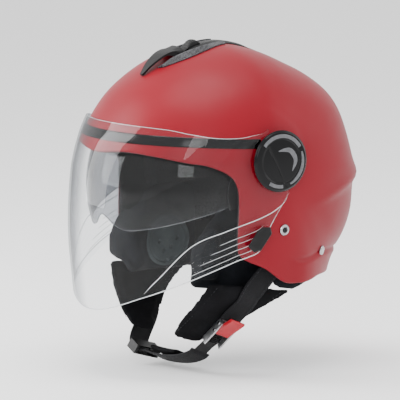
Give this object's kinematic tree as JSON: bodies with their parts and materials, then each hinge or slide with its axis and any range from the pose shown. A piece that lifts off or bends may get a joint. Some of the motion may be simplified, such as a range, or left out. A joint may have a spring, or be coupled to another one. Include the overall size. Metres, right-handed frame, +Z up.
{
  "type": "motorcycle helmet",
  "caption": "Open-face helmet with a long clear visor that lifts, an inner tinted visor worked by a crown slider, padded lining and a chin strap with a quick-release buckle.",
  "frame": {"origin": "on the visor's turning axis, in the plane of symmetry, inside the space for the head", "axes": "+Z up as worn, +Y to the back of the head, +X to the wearer's left"},
  "size_m": [0.2558, 0.2957, 0.319],
  "materials": {
    "red_shell": "satin red lacquer",
    "edge_rubber": "matte",
    "impact_foam": "moulded bead foam",
    "liner_fabric": "brushed knit over foam",
    "ear_fabric": "smooth knit over foam",
    "webbing": "woven strap",
    "black_gloss": "gloss",
    "black_satin": "fine grain",
    "grooved_black": "grooved satin",
    "grey_inlay": "satin grey",
    "steel": "brushed",
    "chrome": "polished",
    "clear_visor": "clear polycarbonate",
    "tinted_visor": "smoke polycarbonate",
    "lever_red": "satin red"
  },
  "bodies": {
    "shell": {"outer_shell": "red_shell", "rim_trim": "edge_rubber", "impact_liner": "impact_foam", "crown_pad": "liner_fabric", "cheek_pad_left": "liner_fabric", "cheek_pad_right": "liner_fabric", "ear_pocket_left": "ear_fabric", "ear_pocket_right": "ear_fabric", "neck_roll": "liner_fabric", "brow_strip": "black_gloss", "vent_spine": "black_satin", "vent_wing_left": "grooved_black", "vent_wing_right": "grooved_black", "pivot_base_left": "black_satin", "pivot_base_right": "black_satin", "pivot_cover_left": "black_gloss", "pivot_cover_right": "black_gloss", "pivot_inlay_left": "grey_inlay", "pivot_inlay_right": "grey_inlay", "strap_anchors": "steel", "rear_studs": "chrome", "sun_pivot_pins": "black_satin", "strap_sleeve_left": "liner_fabric", "strap_sleeve_right": "liner_fabric", "chin_strap_left": "webbing", "chin_strap_right": "webbing", "chin_pad": "liner_fabric", "strap_adjuster": "black_satin", "buckle_body": "steel", "buckle_pins": "chrome", "ratchet_tongue": "black_satin"},
    "visor": {"visor": "clear_visor", "visor_bracket_left": "black_satin", "visor_bracket_right": "black_satin", "visor_tab": "black_satin"},
    "sun_visor": {"sun_visor": "tinted_visor", "sun_arm_left": "black_satin", "sun_arm_right": "black_satin"},
    "sun_slider": {"sun_slider": "black_satin"},
    "buckle_lever": {"buckle_lever": "lever_red"}
  },
  "joints": [
    {"name": "visor_lift", "type": "hinge", "parent": "shell", "child": "visor", "pos_m": [0, 0, 0], "axis": [-1, 0, 0], "range_deg": [0, 62]},
    {"name": "sun_visor_lift", "type": "hinge", "parent": "shell", "child": "sun_visor", "pos_m": [0, -0.0097, -0.0335], "axis": [-1, 0, 0], "range_deg": [0, 46]},
    {"name": "sun_slider_slide", "type": "hinge", "parent": "shell", "child": "sun_slider", "pos_m": [0, 0.0012, 0.0223], "axis": [-1, 0, 0], "range_deg": [0, 40]},
    {"name": "buckle_release", "type": "hinge", "parent": "shell", "child": "buckle_lever", "pos_m": [0.07316, -0.03427, -0.17136], "axis": [-0.0303, -0.9227, 0.3844], "range_deg": [-50, 0], "stiffness_Nm_per_rad": 0.02}
  ],
  "couplings": [
    {"joint": "sun_slider_slide", "follows": "sun_visor_lift", "ratio": 0.86956}
  ]
}
